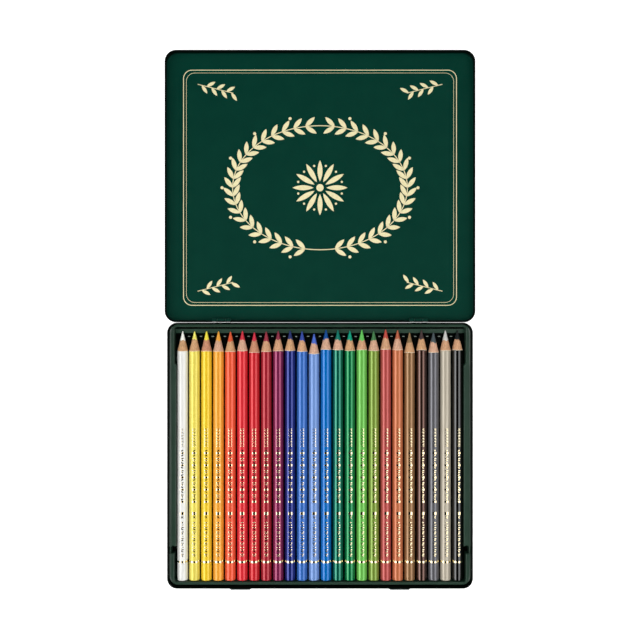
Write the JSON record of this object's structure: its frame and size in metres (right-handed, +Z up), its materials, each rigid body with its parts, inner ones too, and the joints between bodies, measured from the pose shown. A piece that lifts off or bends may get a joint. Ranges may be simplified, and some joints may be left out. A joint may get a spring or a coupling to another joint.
{
  "type": "colored pencil box",
  "caption": "Flat hinged tin box lying open, with a grooved plastic insert tray that holds a row of round lacquered colored pencils.",
  "frame": {"origin": "centre of the base pan's flat underside", "axes": "+X to the right along the pencil row, +Y towards the hinges and the open lid, +Z up"},
  "size_m": [0.2176, 0.3767, 0.0134],
  "materials": {
    "green_enamelled_tinplate": "smooth dark green stove enamel on tinplate",
    "hinge_wire": "drawn steel wire",
    "tray_plastic": "thermoformed dark green polystyrene sheet, semi-gloss",
    "white_lacquer": "gloss lacquer on cedar-like wood",
    "light_yellow_lacquer": "gloss lacquer on cedar-like wood",
    "yellow_lacquer": "gloss lacquer on cedar-like wood",
    "orange_yellow_lacquer": "gloss lacquer on cedar-like wood",
    "orange_lacquer": "gloss lacquer on cedar-like wood",
    "scarlet_lacquer": "gloss lacquer on cedar-like wood",
    "red_lacquer": "gloss lacquer on cedar-like wood",
    "dark_red_lacquer": "gloss lacquer on cedar-like wood",
    "wine_lacquer": "gloss lacquer on cedar-like wood",
    "navy_lacquer": "gloss lacquer on cedar-like wood",
    "blue_lacquer": "gloss lacquer on cedar-like wood",
    "light_blue_lacquer": "gloss lacquer on cedar-like wood",
    "cobalt_lacquer": "gloss lacquer on cedar-like wood",
    "blue_green_lacquer": "gloss lacquer on cedar-like wood",
    "emerald_lacquer": "gloss lacquer on cedar-like wood",
    "light_green_lacquer": "gloss lacquer on cedar-like wood",
    "olive_lacquer": "gloss lacquer on cedar-like wood",
    "brick_red_lacquer": "gloss lacquer on cedar-like wood",
    "terracotta_lacquer": "gloss lacquer on cedar-like wood",
    "ochre_brown_lacquer": "gloss lacquer on cedar-like wood",
    "dark_brown_lacquer": "gloss lacquer on cedar-like wood",
    "grey_lacquer": "gloss lacquer on cedar-like wood",
    "beige_grey_lacquer": "gloss lacquer on cedar-like wood",
    "black_lacquer": "gloss lacquer on cedar-like wood"
  },
  "bodies": {
    "base": {"base_pan": "green_enamelled_tinplate", "hinge_leaf_left": "green_enamelled_tinplate", "hinge_leaf_right": "green_enamelled_tinplate", "hinge_pin_left": "hinge_wire", "hinge_pin_right": "hinge_wire"},
    "lid": {"lid": "green_enamelled_tinplate"},
    "tray": {"insert_tray": "tray_plastic"},
    "pencil_01": {"pencil_01_white": "white_lacquer"},
    "pencil_02": {"pencil_02_light_yellow": "light_yellow_lacquer"},
    "pencil_03": {"pencil_03_yellow": "yellow_lacquer"},
    "pencil_04": {"pencil_04_orange_yellow": "orange_yellow_lacquer"},
    "pencil_05": {"pencil_05_orange": "orange_lacquer"},
    "pencil_06": {"pencil_06_scarlet": "scarlet_lacquer"},
    "pencil_07": {"pencil_07_red": "red_lacquer"},
    "pencil_08": {"pencil_08_dark_red": "dark_red_lacquer"},
    "pencil_09": {"pencil_09_wine": "wine_lacquer"},
    "pencil_10": {"pencil_10_navy": "navy_lacquer"},
    "pencil_11": {"pencil_11_blue": "blue_lacquer"},
    "pencil_12": {"pencil_12_light_blue": "light_blue_lacquer"},
    "pencil_13": {"pencil_13_cobalt": "cobalt_lacquer"},
    "pencil_14": {"pencil_14_blue_green": "blue_green_lacquer"},
    "pencil_15": {"pencil_15_emerald": "emerald_lacquer"},
    "pencil_16": {"pencil_16_light_green": "light_green_lacquer"},
    "pencil_17": {"pencil_17_olive": "olive_lacquer"},
    "pencil_18": {"pencil_18_brick_red": "brick_red_lacquer"},
    "pencil_19": {"pencil_19_terracotta": "terracotta_lacquer"},
    "pencil_20": {"pencil_20_ochre_brown": "ochre_brown_lacquer"},
    "pencil_21": {"pencil_21_dark_brown": "dark_brown_lacquer"},
    "pencil_22": {"pencil_22_grey": "grey_lacquer"},
    "pencil_23": {"pencil_23_beige_grey": "beige_grey_lacquer"},
    "pencil_24": {"pencil_24_black": "black_lacquer"}
  },
  "joints": [
    {"name": "lid_hinge", "type": "hinge", "parent": "base", "child": "lid", "pos_m": [0, 0.09385, 0.007], "axis": [-1, 0, 0], "range_deg": [-180, 0]},
    {"name": "tray_lift", "type": "slide", "parent": "base", "child": "tray", "axis": [0, 0, 1], "range_m": [0, 0.03]},
    {"name": "pencil_01_lift", "type": "slide", "parent": "tray", "child": "pencil_01", "axis": [0, 0, 1], "range_m": [0, 0.03]},
    {"name": "pencil_02_lift", "type": "slide", "parent": "tray", "child": "pencil_02", "axis": [0, 0, 1], "range_m": [0, 0.03]},
    {"name": "pencil_03_lift", "type": "slide", "parent": "tray", "child": "pencil_03", "axis": [0, 0, 1], "range_m": [0, 0.03]},
    {"name": "pencil_04_lift", "type": "slide", "parent": "tray", "child": "pencil_04", "axis": [0, 0, 1], "range_m": [0, 0.03]},
    {"name": "pencil_05_lift", "type": "slide", "parent": "tray", "child": "pencil_05", "axis": [0, 0, 1], "range_m": [0, 0.03]},
    {"name": "pencil_06_lift", "type": "slide", "parent": "tray", "child": "pencil_06", "axis": [0, 0, 1], "range_m": [0, 0.03]},
    {"name": "pencil_07_lift", "type": "slide", "parent": "tray", "child": "pencil_07", "axis": [0, 0, 1], "range_m": [0, 0.03]},
    {"name": "pencil_08_lift", "type": "slide", "parent": "tray", "child": "pencil_08", "axis": [0, 0, 1], "range_m": [0, 0.03]},
    {"name": "pencil_09_lift", "type": "slide", "parent": "tray", "child": "pencil_09", "axis": [0, 0, 1], "range_m": [0, 0.03]},
    {"name": "pencil_10_lift", "type": "slide", "parent": "tray", "child": "pencil_10", "axis": [0, 0, 1], "range_m": [0, 0.03]},
    {"name": "pencil_11_lift", "type": "slide", "parent": "tray", "child": "pencil_11", "axis": [0, 0, 1], "range_m": [0, 0.03]},
    {"name": "pencil_12_lift", "type": "slide", "parent": "tray", "child": "pencil_12", "axis": [0, 0, 1], "range_m": [0, 0.03]},
    {"name": "pencil_13_lift", "type": "slide", "parent": "tray", "child": "pencil_13", "axis": [0, 0, 1], "range_m": [0, 0.03]},
    {"name": "pencil_14_lift", "type": "slide", "parent": "tray", "child": "pencil_14", "axis": [0, 0, 1], "range_m": [0, 0.03]},
    {"name": "pencil_15_lift", "type": "slide", "parent": "tray", "child": "pencil_15", "axis": [0, 0, 1], "range_m": [0, 0.03]},
    {"name": "pencil_16_lift", "type": "slide", "parent": "tray", "child": "pencil_16", "axis": [0, 0, 1], "range_m": [0, 0.03]},
    {"name": "pencil_17_lift", "type": "slide", "parent": "tray", "child": "pencil_17", "axis": [0, 0, 1], "range_m": [0, 0.03]},
    {"name": "pencil_18_lift", "type": "slide", "parent": "tray", "child": "pencil_18", "axis": [0, 0, 1], "range_m": [0, 0.03]},
    {"name": "pencil_19_lift", "type": "slide", "parent": "tray", "child": "pencil_19", "axis": [0, 0, 1], "range_m": [0, 0.03]},
    {"name": "pencil_20_lift", "type": "slide", "parent": "tray", "child": "pencil_20", "axis": [0, 0, 1], "range_m": [0, 0.03]},
    {"name": "pencil_21_lift", "type": "slide", "parent": "tray", "child": "pencil_21", "axis": [0, 0, 1], "range_m": [0, 0.03]},
    {"name": "pencil_22_lift", "type": "slide", "parent": "tray", "child": "pencil_22", "axis": [0, 0, 1], "range_m": [0, 0.03]},
    {"name": "pencil_23_lift", "type": "slide", "parent": "tray", "child": "pencil_23", "axis": [0, 0, 1], "range_m": [0, 0.03]},
    {"name": "pencil_24_lift", "type": "slide", "parent": "tray", "child": "pencil_24", "axis": [0, 0, 1], "range_m": [0, 0.03]}
  ]
}
